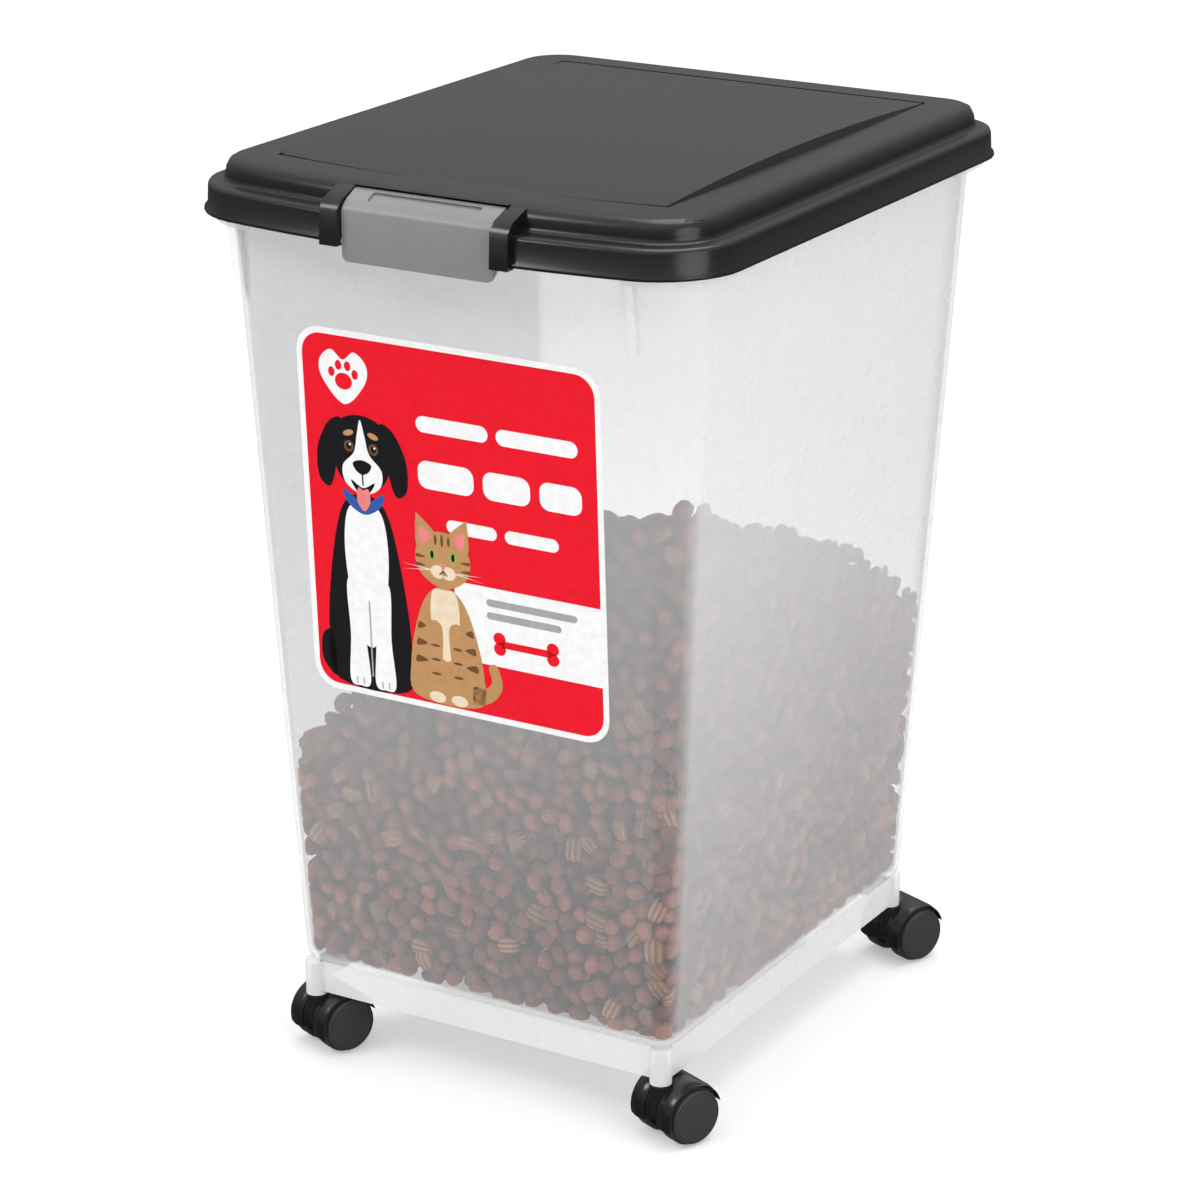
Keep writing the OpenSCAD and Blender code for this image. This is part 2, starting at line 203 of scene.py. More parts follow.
def steel(name):
    n = Nodes(name)
    brushed = n.noise(900.0, 3.0, 0.6, (0.15, 1.0, 1.0))
    n.set(Base_Color=n.ramp(brushed, (0.3, (0.50, 0.50, 0.51)), (0.7, (0.66, 0.66, 0.67))), Metallic=1.0)
    n.set(Roughness=n.remap(brushed, 0.3, 0.7, 0.24, 0.38), Normal=n.bump(brushed, 0.00003, 0.5))
    return n.material


def foam(name):
    n = Nodes(name)
    cells = n.noise(2200.0, 3.0, 0.7)
    n.set(Base_Color=n.ramp(cells, (0.3, (0.018, 0.018, 0.02)), (0.7, (0.07, 0.07, 0.075))))
    n.set(Roughness=n.remap(cells, 0.3, 0.7, 0.8, 0.95), Specular_IOR_Level=0.2)
    n.set(Normal=n.bump(cells, 0.0002, 0.8))
    return n.material


LID = molded_plastic("black_lid_plastic", (0.0052, 0.0052, 0.0054), 0.23, 0.4, 1300.0, 0.00003, 0.04)
LATCH = molded_plastic("grey_latch_plastic", (0.205, 0.205, 0.205), 0.38, 0.4, 1100.0, 0.00005, 0.05)
HOOD = molded_plastic("black_hood_plastic", (0.008, 0.008, 0.0084), 0.24, 0.5, 900.0, 0.00003, 0.1)
WHEEL = molded_plastic("wheel_plastic", (0.040, 0.040, 0.041), 0.42, 0.35, 900.0, 0.00005, 0.05)
TUB = milky_plastic("milky_tub_plastic", 0.155, 0.50, 0.24)
BASE = milky_plastic("milky_base_plastic", 0.84, 0.92, 0.0, (0.79, 0.795, 0.80))
RIM = milky_plastic("milky_rim_plastic", 0.50, 0.66, 0.0, (0.74, 0.745, 0.75))
STEEL = steel("pin_steel")
FOAM = foam("foam_seal")

# ---------------------------------------------------------------- mesh helpers


def new_mesh(name, verts, faces):
    mesh = bpy.data.meshes.new(name)
    mesh.from_pydata([tuple(v) for v in verts], [], [tuple(f) for f in faces])
    mesh.update()
    return mesh


def smooth_by_angle(mesh, degrees):
    bm = bmesh.new()
    bm.from_mesh(mesh)
    limit = math.radians(degrees)
    for face in bm.faces:
        face.smooth = True
    for edge in bm.edges:
        edge.smooth = edge.calc_face_angle(0.0) < limit
    bm.to_mesh(mesh)
    bm.free()


def piece(name, mesh, body, material, stands_for=()):
    obj = bpy.data.objects.new(name, mesh)
    scene.collection.objects.link(obj)
    if material is not None:
        mesh.materials.append(material)
    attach(obj, body)
    if stands_for:
        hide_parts(*stands_for)
    return obj


def cad_copy(node, degrees=30, flatten=None):
    """A new mesh with the shape of a CAD node, its split corners welded and its soft edges shaded smooth."""
    source = nodes[node].data
    mesh = new_mesh(node, [v.co for v in source.vertices], [p.vertices for p in source.polygons])
    bm = bmesh.new()
    bm.from_mesh(mesh)
    bmesh.ops.remove_doubles(bm, verts=bm.verts, dist=2e-6)
    bmesh.ops.dissolve_degenerate(bm, edges=bm.edges, dist=1e-6)
    if flatten is not None:
        bmesh.ops.dissolve_limit(bm, verts=bm.verts, edges=bm.edges, angle_limit=math.radians(flatten))
    bmesh.ops.recalc_face_normals(bm, faces=bm.faces)
    bm.to_mesh(mesh)
    bm.free()
    smooth_by_angle(mesh, degrees)
    return mesh


def bevelled(obj, width, segments=3, degrees=32):
    modifier = obj.modifiers.new("soft_edges", "BEVEL")
    modifier.width = width
    modifier.segments = segments
    modifier.limit_method = "ANGLE"
    modifier.angle_limit = math.radians(degrees)
    modifier.harden_normals = True
    modifier.miter_outer = "MITER_ARC"
    return obj


# ---------------------------------------------------------------- kibble


def kibble_templates(rng):
    """Rounded pillows, then ribbed oblong biscuits, each as (points, faces, kind, painted shading of each
    point: none on the pillows, darker rib valleys on the biscuits).
    """
    shapes = []
    for _ in range(7):
        rings, around = 5, 9
        pts, faces = [(0, 0, -1)], []
        lump = rng.uniform(-0.07, 0.07, (rings, around))
        for i in range(1, rings):
            lat = -math.pi / 2 + math.pi * i / rings
            for j in range(around):
                lon = 2 * math.pi * j / around
                c, s = math.cos(lon), math.sin(lon)
                r = abs(math.cos(lat)) ** 0.62 * (1 + lump[i, j])
                oval = (abs(c) ** 2.5 + abs(s) ** 2.5) ** (-1 / 2.5)
                pts.append((r * c * oval, r * s * oval, math.copysign(abs(math.sin(lat)) ** 0.75, lat)))
        pts.append((0, 0, 1))
        last = len(pts) - 1
        for j in range(around):
            k = (j + 1) % around
            faces.append((0, 1 + k, 1 + j))
            for i in range(rings - 2):
                a, b = 1 + i * around, 1 + (i + 1) * around
                faces.append((a + j, a + k, b + k, b + j))
            top = 1 + (rings - 2) * around
            faces.append((top + j, top + k, last))
        shapes.append((np.array(pts) * (7.1, 5.7, 4.2) * MM, faces, 0, np.zeros(len(pts))))
    for _ in range(3):
        cols, rows = 6, 7
        pts, faces, painted_valley_shade = [], [], []
        for side in (1, -1):
            for i in range(cols):
                for j in range(rows):
                    u, v = 2 * i / (cols - 1) - 1, 2 * j / (rows - 1) - 1
                    edge = math.sqrt((1 - abs(u) ** 5) * (1 - abs(v) ** 4))
                    rib = 0.5 - 0.5 * math.cos(math.pi * j)
                    rim = 1 - rng.uniform(0, 0.05)
                    x = u * math.sqrt(1 - 0.34 * v * v) * (0.97 + 0.05 * rib)
                    y = v * math.sqrt(1 - 0.34 * u * u)
                    pts.append((x * rim, y * rim, side * (0.26 + edge * (0.44 + 0.30 * rib))))
                    # Painted shading: points in the valleys between the ribs are darkened by 0.75 on the
                    # brightness scale, and points on the ridges keep theirs.
                    painted_valley_shade.append(0.75 * (rib - 1))
        low = cols * rows
        for i in range(cols - 1):
            for j in range(rows - 1):
                a = i * rows + j
                faces.append((a, a + rows, a + rows + 1, a + 1))
                faces.append((low + a, low + a + 1, low + a + rows + 1, low + a + rows))
        loop = [i * rows for i in range(cols)] + [(cols - 1) * rows + j for j in range(1, rows)]
        loop += [i * rows + rows - 1 for i in range(cols - 2, -1, -1)] + list(range(rows - 2, 0, -1))
        for a, b in zip(loop, loop[1:] + loop[:1]):
            faces.append((b, a, low + a, low + b))
        shapes.append((np.array(pts) * (9.0, 6.3, 4.2) * MM, faces, 1, np.array(painted_valley_shade)))
    return shapes


def spaced_points(rng, tris, spacing, tries):
    """Random points on triangles, none closer than spacing to another. Gives (point, normal) rows."""
    a, b, c = tris[:, 0], tris[:, 1], tris[:, 2]
    cross = np.cross(b - a, c - a)
    area = np.linalg.norm(cross, axis=1) / 2
    normal = cross / (2 * area[:, None])
    pick = rng.choice(len(tris), tries, p=area / area.sum())
    u, v = rng.random(tries), rng.random(tries)
    flip = u + v > 1
    u[flip], v[flip] = 1 - u[flip], 1 - v[flip]
    points = a[pick] + u[:, None] * (b - a)[pick] + v[:, None] * (c - a)[pick]
    cells, kept = {}, []
    keys = np.floor(points / spacing).astype(int)
    near = [(x, y, z) for x in (-1, 0, 1) for y in (-1, 0, 1) for z in (-1, 0, 1)]
    for i in range(tries):
        key = tuple(keys[i])
        p = points[i]
        clear = True
        for d in near:
            for q in cells.get((key[0] + d[0], key[1] + d[1], key[2] + d[2]), ()):
                if (p[0] - q[0]) ** 2 + (p[1] - q[1]) ** 2 + (p[2] - q[2]) ** 2 < spacing * spacing:
                    clear = False
                    break
            if not clear:
                break
        if clear:
            cells.setdefault(key, []).append(p)
            kept.append(i)
    return points[kept], normal[pick][kept]


def turned(rng, normal, tilt):
    """A rotation matrix whose third axis is near normal, spun at random about it."""
    axis = normal + rng.normal(0, tilt, 3)
    axis /= np.linalg.norm(axis)
    side = np.cross(axis, (0.31, 0.52, 0.79) if abs(axis[2]) < 0.9 else (1.0, 0.0, 0.0))
    side /= np.linalg.norm(side)
    spin = rng.uniform(0, 2 * math.pi)
    other = np.cross(axis, side)
    first = side * math.cos(spin) + other * math.sin(spin)
    return np.stack([first, np.cross(axis, first), axis], axis=1)


# How far the dark core, whose colour is painted shadow in the gaps between pieces, lies under the load's
# surface, and at least how far behind its flat walls
CORE_INSET = 0.010
CORE_WALL_GAP = 0.0085
# For each layer of pieces: the closest spacing, and how many random places are tried
KIBBLE_LAYERS = ((0.0108, 110000), (0.0125, 60000))
RIBBED_SHARE = 0.15
# Corner radius of the load at the floor, and how much it grows with each metre of height
CORNER_RADIUS = 0.0145
CORNER_GROWTH = 0.0208


def load_of_kibble():
    rng = np.random.default_rng(71)
    source = nodes["kibble_fill"].data
    source.calc_loop_triangles()
    co = np.array([v.co for v in source.vertices])
    tris = co[np.array([t.vertices for t in source.loop_triangles])]
    normals = np.cross(tris[:, 1] - tris[:, 0], tris[:, 2] - tris[:, 0])
    areas = np.linalg.norm(normals, axis=1)
    tris, normals, areas = tris[areas > 1e-9], normals[areas > 1e-9], areas[areas > 1e-9]
    normals /= areas[:, None]
    middle = tris.mean(axis=1)
    # The flat walls and the floor of the load, as planes that no piece may cross
    planes = []
    for direction in ((1, 0, 0), (-1, 0, 0), (0, 1, 0), (0, -1, 0), (0, 0, -1)):
        near = normals @ np.array(direction) > 0.99
        best = np.argmax(np.where(near, areas, 0))
        planes.append((normals[best], float(normals[best] @ middle[best])))
    corners = [tuple(t.vertices) for t in source.loop_triangles]
    tree = BVHTree.FromPolygons([Vector(p) for p in co], corners)
    walls = planes[:4]
    floor_level = float(co[:, 2].min())

    def pulled_in(body):
        """Near an upright corner, draws points back inside the wall's corner radius."""
        room = [level - body @ plane for plane, level in walls]
        radius = CORNER_RADIUS + CORNER_GROWTH * (body[:, 2] - floor_level)
        for a, b in ((0, 2), (0, 3), (1, 2), (1, 3)):
            u, v = radius - room[a], radius - room[b]
            far = np.sqrt(u * u + v * v)
            past = np.where((u > 0) & (v > 0), np.clip(far - radius + 0.0002, 0, None), 0)
            excess = past / np.maximum(far, 1e-6)
            body = body - np.outer(excess * u, walls[a][0]) - np.outer(excess * v, walls[b][0])
        return body

    shapes = kibble_templates(rng)
    batches = {0: [], 1: []}
    for layer, (spacing, tries) in enumerate(KIBBLE_LAYERS):
        points, facing = spaced_points(rng, tris, spacing, tries)
        for point, normal in zip(points, facing):
            index = rng.integers(0, 7) if rng.random() > RIBBED_SHARE else 7 + rng.integers(0, 3)
            pts, faces, kind, painted_valley_shade = shapes[index]
            turn = turned(rng, normal, 0.28 if normal[2] < 0.3 else 0.5)
            body = pts @ turn.T * rng.uniform(0.88, 1.12)
            height = body @ normal
            reach = float(height.max())
            painted_light_outward = (height / reach + 1) / 2
            # Painted shading: a random brightness per piece, lightened on the face that looks out of the load
            # and darkened towards its underside and edges, plus the painted rib-valley darkening.
            tone_and_painted_shading = np.clip(0.2 + 0.6 * rng.random() + 0.9 * (painted_light_outward - 0.8) + painted_valley_shade, 0, 1)
            top = normal[2] > 0.3
            depth = reach + (0.0002 if not top else -0.0022) + layer * 0.0072
            centre = point - normal * depth
            if layer:
                found = tree.find_nearest(Vector(centre))
                if found[3] < 0.007:
                    continue
            body = body + centre
            for plane, level in planes:
                over = body @ plane - level + 0.0001
                body = body - np.outer(np.clip(over, 0, None), plane)
            body = pulled_in(body)
            batches[kind].append((body, faces, tone_and_painted_shading))
    oval_tones = ((0.0, (0.06, 0.018, 0.014)), (0.35, (0.17, 0.048, 0.035)),
                  (0.7, (0.31, 0.095, 0.066)), (1.0, (0.48, 0.19, 0.13)))
    ribbed_tones = ((0.0, (0.19, 0.085, 0.042)), (0.5, (0.44, 0.22, 0.105)), (1.0, (0.66, 0.39, 0.21)))
    oval_look = kibble_material("kibble_oval", oval_tones)
    ribbed_look = kibble_material("kibble_ribbed", ribbed_tones, 0.7)
    kinds = ((0, "kibble_oval", oval_look, 4), (1, "kibble_ribbed", ribbed_look, 1))
    for kind, name, material, share in kinds:
        batch = batches[kind]
        for number in range(share):
            group = batch[number::share]
            verts, faces, tones_and_painted_shading, start = [], [], [], 0
            for body, local, tone_and_painted_shading in group:
                verts.append(body)
                faces.extend([tuple(i + start for i in f) for f in local])
                tones_and_painted_shading.append(tone_and_painted_shading)
                start += len(body)
            mesh = new_mesh(f"{name}_{number + 1}", np.concatenate(verts), faces)
            tone_and_painted_shading_data = mesh.attributes.new("tone_and_painted_shading", "FLOAT", "POINT").data
            tone_and_painted_shading_data.foreach_set("value", np.concatenate(tones_and_painted_shading).astype(np.float32))
            mesh.polygons.foreach_set("use_smooth", [True] * len(mesh.polygons))
            piece(f"{name}_{number + 1}", mesh, "tub", material)
    print("kibble pieces", len(batches[0]), len(batches[1]))
    # A dark inner load that closes the gaps behind the visible pieces; its colour, darker than the pieces, is
    # painted shadow in those gaps
    core = cad_copy("kibble_fill", 30)
    bm = bmesh.new()
    bm.from_mesh(core)
    bmesh.ops.triangulate(bm, faces=bm.faces)
    bm.normal_update()
    planes_out = [(Vector(p), d) for p, d in planes]
    for v in bm.verts:
        v.co = v.co - v.normal * CORE_INSET
        for p, d in planes_out:
            over = v.co.dot(p) - (d - CORE_WALL_GAP)
            if over > 0:
                v.co -= p * over
    bm.to_mesh(core)
    bm.free()
    # Painted shadow: the core's colour is far darker than the pieces so the gaps between them read as shadow.
    dark = kibble_material("kibble_core_painted_shadow", ((0.0, (0.06, 0.03, 0.02)), (1.0, (0.09, 0.045, 0.03))))
    piece("kibble_core_painted_shadow", core, "tub", dark, ["kibble_fill"])


load_of_kibble()

# ---------------------------------------------------------------- tub, lid, latch and casters


# How far below the lid's lip the rim material starts, and how far below the load the skirt material starts
RIM_DEPTH = 0.006
FLOOR_DEPTH = 0.0035
# Faces larger than this, in square metres, belong to the walls
WALL_AREA = 0.02


def tub_mesh():
    """The CAD tub, with its skirt and posts milkier than the walls, and its rim in between."""
    mesh = cad_copy("tub", 34)
    floor_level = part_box("kibble_fill")[0].z
    lip_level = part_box("lid")[0].z
    for material in (TUB, BASE, RIM):
        mesh.materials.append(material)
    for face in mesh.polygons:
        centre = face.center
        if centre.z < floor_level - FLOOR_DEPTH:
            face.material_index = 1
        elif centre.z > lip_level - RIM_DEPTH and face.area < WALL_AREA:
            face.material_index = 2
    return mesh


piece("tub_shell", tub_mesh(), "tub", None, ["tub"])
piece("lid_shell", cad_copy("lid", 50), "lid", LID, ["lid"])
latch_flap = piece("latch_flap", cad_copy("latch", 30, 0.4), "latch", LATCH, ["latch"])
bevelled(latch_flap, 0.0009, 4)


class Caster:
    """Where one caster stands: its swivel axis, its axle and the directions across and behind it."""

    def __init__(self, place):
        stem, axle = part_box(f"stem_{place}"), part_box(f"axle_{place}")
        self.origin = (stem[0] + stem[1]) / 2
        self.origin.z = 0
        hub = (axle[0] + axle[1]) / 2
        self.back = Vector((hub.x - self.origin.x, hub.y - self.origin.y, 0))
        self.trail = self.back.length
        self.back.normalize()
        self.across = Vector((self.back.y, -self.back.x, 0))
        self.height = hub.z

    def at(self, x, y, z):
        return self.origin + self.across * x + self.back * y + Vector((0, 0, z))

    def span(self, node):
        """How far a CAD node reaches across, and its radius about the axle."""
        local = [v.co - self.at(0, self.trail, self.height) for v in nodes[node].data.vertices]
        across = [p.dot(self.across) for p in local]
        return min(across), max(across), max(math.hypot(p.dot(self.back), p.z) for p in local)


def swept(rings):
    """Faces of a closed solid through rings with the same number of points."""
    count = len(rings[0])
    verts = [p for ring in rings for p in ring]
    faces = []
    for k in range(len(rings) - 1):
        for i in range(count):
            j = (i + 1) % count
            faces.append((k * count + i, k * count + j, (k + 1) * count + j, (k + 1) * count + i))
    half = count // 2
    for base, flip in ((0, True), ((len(rings) - 1) * count, False)):
        for i in range(half - 1):
            quad = (base + i, base + i + 1, base + count - 2 - i, base + count - 1 - i)
            faces.append(quad[::-1] if flip else quad)
    return verts, faces


def hood_mesh(caster, node):
    """Two rounded fenders with a groove between them at the stem side, on a solid web."""
    _, half, radius = caster.span(node)
    steps, web, pocket = 44, 0.0071, radius - 0.0016
    start, end = math.radians(17), math.radians(197)

    def outer(x, angle):
        forward = min(1, max(0, (math.degrees(angle) - 62) / 75))
        forward = forward * forward * (3 - 2 * forward)
        groove = max(0, 1 - abs(x) / 0.0125) ** 1.5 * 0.0075 * forward
        edge = max(0, (abs(x) - (half - 0.0075)) / 0.0075)
        crown = 0.0014 * edge * edge + 0.0009 * max(0, (edge - 0.75) / 0.25) ** 2
        return radius - groove - crown

    def ring(x, inner):
        angles = [start + (end - start) * k / steps for k in range(steps + 1)]
        points = []
        for angle in angles:
            r = max(outer(x, angle), inner + 0.0006)
            y, z = caster.trail + r * math.cos(angle), caster.height + r * math.sin(angle)
            if math.hypot(x, y) < 0.0088:
                z = min(z, 0.0405)
            points.append(caster.at(x, y, z))
        for angle in reversed(angles):
            y, z = caster.trail + inner * math.cos(angle), caster.height + inner * math.sin(angle)
            points.append(caster.at(x, y, z))
        return points

    verts, faces = [], []
    inside = [-web + 2 * web * k / 12 for k in range(13)]
    shell = [web - 0.0003 + (half - web + 0.0003) * (1 - (1 - k / 14) ** 1.7) for k in range(15)]
    for stations, inner in ((inside, 0.0032), (shell, pocket), ([-x for x in reversed(shell)], pocket)):
        v, f = swept([ring(x, inner) for x in stations])
        faces.extend(tuple(i + len(verts) for i in face) for face in f)
        verts.extend(v)
    # The hub around the axle, and the socket around the stem
    for profile, upright in ((((-web, 0.0031), (-web, 0.006), (web, 0.006), (web, 0.0031)), False),
                             (((0.0200, 0.0043), (0.0200, 0.0070), (0.0385, 0.0074), (0.0402, 0.0070),
                               (0.0406, 0.0062), (0.0406, 0.0043)), True)):
        base, count = len(verts), len(profile)
        for k in range(28):
            c, d = math.cos(2 * math.pi * k / 28), math.sin(2 * math.pi * k / 28)
            for p, r in profile:
                verts.append(caster.at(r * c, r * d, p) if upright
                             else caster.at(p, caster.trail + r * c, caster.height + r * d))
        for k in range(28):
            m = (k + 1) % 28
            for i in range(count):
                j = (i + 1) % count
                here, there = base + k * count, base + m * count
                faces.append((here + i, there + i, there + j, here + j))
    return verts, faces


def wheel_mesh(caster, node):
    """A turned wheel: bore, hollow inner side, tread with soft shoulders and a faintly domed outer disc."""
    low_x, high_x, radius = caster.span(node)
    side = 1 if high_x > -low_x else -1
    inner, outer = (low_x, high_x) if side > 0 else (-high_x, -low_x)
    bore = 0.0031
    disc = radius - 0.0018
    profile = [(outer - 0.0035, 0), (outer - 0.0035, bore), (inner + 0.0002, bore), (inner + 0.0002, 0.0064),
               (inner + 0.0020, 0.0070), (inner + 0.0034, radius - 0.0042), (inner + 0.0006, radius - 0.0032),
               (inner, radius - 0.0020), (inner, radius - 0.0009), (inner + 0.0003, radius - 0.0002),
               (inner + 0.0009, radius), (outer - 0.0056, radius), (outer - 0.0050, radius - 0.0002),
               (outer - 0.0046, radius - 0.0007), (outer - 0.0045, disc - 0.0001),
               (outer - 0.0016, disc - 0.0001), (outer - 0.0009, disc - 0.0003),
               (outer - 0.0006, disc - 0.0008), (outer - 0.0005, disc - 0.0014),
               (outer - 0.0008, disc - 0.0017), (outer - 0.0004, disc - 0.0020),
               (outer - 0.0002, disc - 0.0050),
               (outer - 0.0001, 0.008), (outer, 0.003), (outer, 0)]
    around, verts, faces, rows = 72, [], [], []
    for x, r in profile:
        if r == 0:
            rows.append([len(verts)] * around)
            verts.append(caster.at(side * x, caster.trail, caster.height))
            continue
        rows.append(list(range(len(verts), len(verts) + around)))
        for k in range(around):
            a = 2 * math.pi * k / around
            y, z = caster.trail + r * math.cos(a), caster.height + r * math.sin(a)
            verts.append(caster.at(side * x, y, z))
    for one, two in zip(rows, rows[1:]):
        for k in range(around):
            m = (k + 1) % around
            face = [one[k], one[m], two[m], two[k]]
            faces.append(tuple(dict.fromkeys(face)))
    return verts, faces


def soft_solid(name, verts, faces, degrees):
    mesh = new_mesh(name, verts, faces)
    bm = bmesh.new()
    bm.from_mesh(mesh)
    bmesh.ops.recalc_face_normals(bm, faces=bm.faces)
    bm.to_mesh(mesh)
    bm.free()
    smooth_by_angle(mesh, degrees)
    return mesh


for place in ("front_left", "front_right", "back_left", "back_right"):
    caster = Caster(place)
    hood = soft_solid(f"caster_{place}", *hood_mesh(caster, f"hood_{place}"), 38)
    piece(f"caster_{place}", hood, f"caster_{place}", HOOD, [f"hood_{place}"])
    for side in ("in", "out"):
        node = f"wheel_{place}_{side}"
        wheel = soft_solid(node, *wheel_mesh(caster, node), 32)
        piece(f"roller_{place}_{side}", wheel, f"roller_{place}_{side}", WHEEL, [node])

for node, obj in nodes.items():
    if node.startswith(("stem_", "axle_", "hinge_pin_", "latch_pin")):
        obj.material_slots[0].material = STEEL
    elif node == "lid_gasket":
        obj.material_slots[0].material = FOAM

# ---------------------------------------------------------------- label

INKS = {"white": (0.86, 0.86, 0.86), "red": (0.80, 0.004, 0.018), "black": (0.012, 0.012, 0.014),
        "tan": (0.50, 0.27, 0.11), "brown": (0.17, 0.075, 0.03), "cream": (0.80, 0.66, 0.48),
        "pink": (0.78, 0.22, 0.22), "grey": (0.36, 0.36, 0.38), "green": (0.30, 0.42, 0.08),
        "blue": (0.03, 0.10, 0.36)}


def oval(u, v, ru, rv, turn=0.0, count=36):
    c, s = math.cos(math.radians(turn)), math.sin(math.radians(turn))
    ring = [(ru * math.cos(2 * math.pi * k / count), rv * math.sin(2 * math.pi * k / count))
            for k in range(count)]
    return [(u + x * c - y * s, v + x * s + y * c) for x, y in ring]


def bar(u0, v0, u1, v1, r, steps=6):
    """Rounded rectangle between two corners."""
    r = min(r, (u1 - u0) / 2 - 0.01, (v1 - v0) / 2 - 0.01)
    ring = []
    centres = ((u1 - r, v1 - r, 0), (u0 + r, v1 - r, 90), (u0 + r, v0 + r, 180), (u1 - r, v0 + r, 270))
    for cu, cv, start in centres:
        for k in range(steps + 1):
            a = math.radians(start + 90 * k / steps)
            ring.append((cu + r * math.cos(a), cv + r * math.sin(a)))
    return ring


def curve(points, steps=6):
    """Closed smooth line through the points."""
    ring, count = [], len(points)
    for i in range(count):
        p0, p1, p2, p3 = (np.array(points[(i + k) % count], float) for k in (-1, 0, 1, 2))
        for k in range(steps):
            t = k / steps
            q = 2 * p1 + (p2 - p0) * t + (2 * p0 - 5 * p1 + 4 * p2 - p3) * t ** 2
            q = 0.5 * (q + (3 * p1 - p0 - 3 * p2 + p3) * t ** 3)
            ring.append(tuple(q))
    return ring


def mirrored(points, middle):
    return [(2 * middle - u, v) for u, v in reversed(points)]


def build_label():
    source = nodes["label"].data
    front = max((p for p in source.polygons if p.normal.y < -0.5), key=lambda p: p.area)
    out = front.normal.copy()
    up = Vector((1, 0, 0)).cross(-out).normalized()
    if up.z < 0:
        up.negate()
    co = [v.co for v in source.vertices]
    us, vs, ns = [p.x for p in co], [p.dot(up) for p in co], [p.dot(out) for p in co]
    half_w, half_h = (max(us) - min(us)) / 2 / MM, (max(vs) - min(vs)) / 2 / MM
    middle = Vector((1, 0, 0)) * ((max(us) + min(us)) / 2) + up * ((max(vs) + min(vs)) / 2) + out * min(ns)
    shapes = []

    def add(ink, level, ring):
        """One flat shape, in millimetres from the middle of the label. A higher level lies on top."""
        shapes.append((ink, level, ring))

    edge = 4.2
    add("white", 1, bar(-half_w, -half_h, half_w, half_h, 18))
    add("red", 2, bar(-half_w + edge, -half_h + edge, half_w - edge, half_h - edge, 14.5))
    # Paw badge
    badge = [(-96, 104), (-87, 112), (-78, 106), (-69, 112), (-60, 104), (-62, 91), (-78, 76), (-94, 91)]
    add("white", 3, curve(badge))
    add("red", 4, oval(-78, 91.5, 6.6, 5.6))
    for u, v in ((-87, 97), (-81.5, 102), (-74.5, 102), (-69, 97)):
        add("red", 4, oval(u, v, 2.5, 3.3))
    # Wording as plain bars
    for u0, u1 in ((-24, 30), (36, 96)):
        add("white", 3, bar(u0, 66, u1, 77, 5.5))
    for u0, u1 in ((-24, 18), (25, 60), (67, 98)):
        add("white", 3, bar(u0, 28, u1, 47, 7))
    for u0, u1 in ((-4, 34), (40, 80)):
        add("white", 3, bar(u0, 0.5, u1, 9.5, 4.5))
    # White band with a bone and small bars
    band_u1 = half_w - edge
    add("white", 3, bar(0, -86, band_u1, -32, 0.4))
    add("grey", 4, bar(24, -45, 92, -40, 2.5))
    add("grey", 4, bar(24, -54, 80, -49, 2.5))
    add("red", 4, bar(34, -72.5, 72, -67.5, 2.2))
    for u in (33, 73):
        for v in (-66.4, -73.6):
            add("red", 4, oval(u, v, 4.6, 4.4))
    # Sitting dog
    dog = -67
    body = [(-94, -118), (-100, -86), (-95, -36), (-84, 6), (-67, 16),
            (-50, 6), (-40, -36), (-35, -86), (-40, -118)]
    add("black", 3, curve(body))
    add("black", 3, curve([(-96, -116), (-106, -106), (-106, -90), (-100, -84), (-96, -94)]))
    chest = [(-80, 4), (-67, 10), (-54, 4), (-50, -24), (-54, -62),
             (-62, -88), (-72, -88), (-80, -62), (-84, -24)]
    add("white", 4, curve(chest))
    for middle_u in (-77, -57):
        leg = [(-6.5, -46), (6.5, -46), (6, -84), (8, -116), (0, -120), (-8, -116), (-6, -84)]
        add("white", 5, curve([(middle_u + u, v) for u, v in leg]))
        for toe in (-2.6, 2.6):
            add("grey", 6, bar(middle_u + toe - 0.5, -119, middle_u + toe + 0.5, -114, 0.5))
    add("grey", 6, bar(dog - 0.6, -112, dog + 0.6, -58, 0.6))
    add("blue", 6, curve([(-82, 18), (-67, 10), (-52, 18), (-54, 9), (-67, 2), (-80, 9)]))
    dog_head = [(-67, 70), (-84, 64), (-90, 46), (-84, 26), (-67, 16), (-50, 26), (-44, 46), (-50, 64)]
    add("black", 7, curve(dog_head))
    ear = [(-82, 66), (-92, 62), (-101, 44), (-101, 24), (-93, 18), (-88, 30), (-86, 48)]
    add("black", 8, curve(ear))
    add("black", 8, curve(mirrored(ear, dog)))
    blaze = [(-67, 67), (-70, 56), (-73, 44), (-82, 34), (-80, 22),
             (-67, 16), (-54, 22), (-52, 34), (-61, 44), (-64, 56)]
    add("white", 8, curve(blaze))
    add("black", 9, curve([(-74, 37), (-67, 39.5), (-60, 37), (-62, 32), (-67, 29.5), (-72, 32)]))
    add("black", 9, bar(-67.6, 22, -66.4, 31, 0.6))
    add("black", 9, curve([(-76, 25), (-67, 20.5), (-58, 25), (-61, 19), (-67, 13), (-73, 19)]))
    add("pink", 10, curve([(-71, 20), (-67, 19), (-63, 20), (-62, 11), (-67, 4.5), (-72, 11)]))
    for u in (-76.5, -57.5):
        add("brown", 9, oval(u, 48, 3.7, 3.9))
        add("black", 10, oval(u, 48, 2.1, 2.3))
        add("white", 10.6, oval(u + 0.9, 49.2, 0.8, 0.8))
    for u, turn in ((-76.5, 18), (-57.5, -18)):
        add("tan", 9, oval(u, 57, 4.2, 2.0, turn))
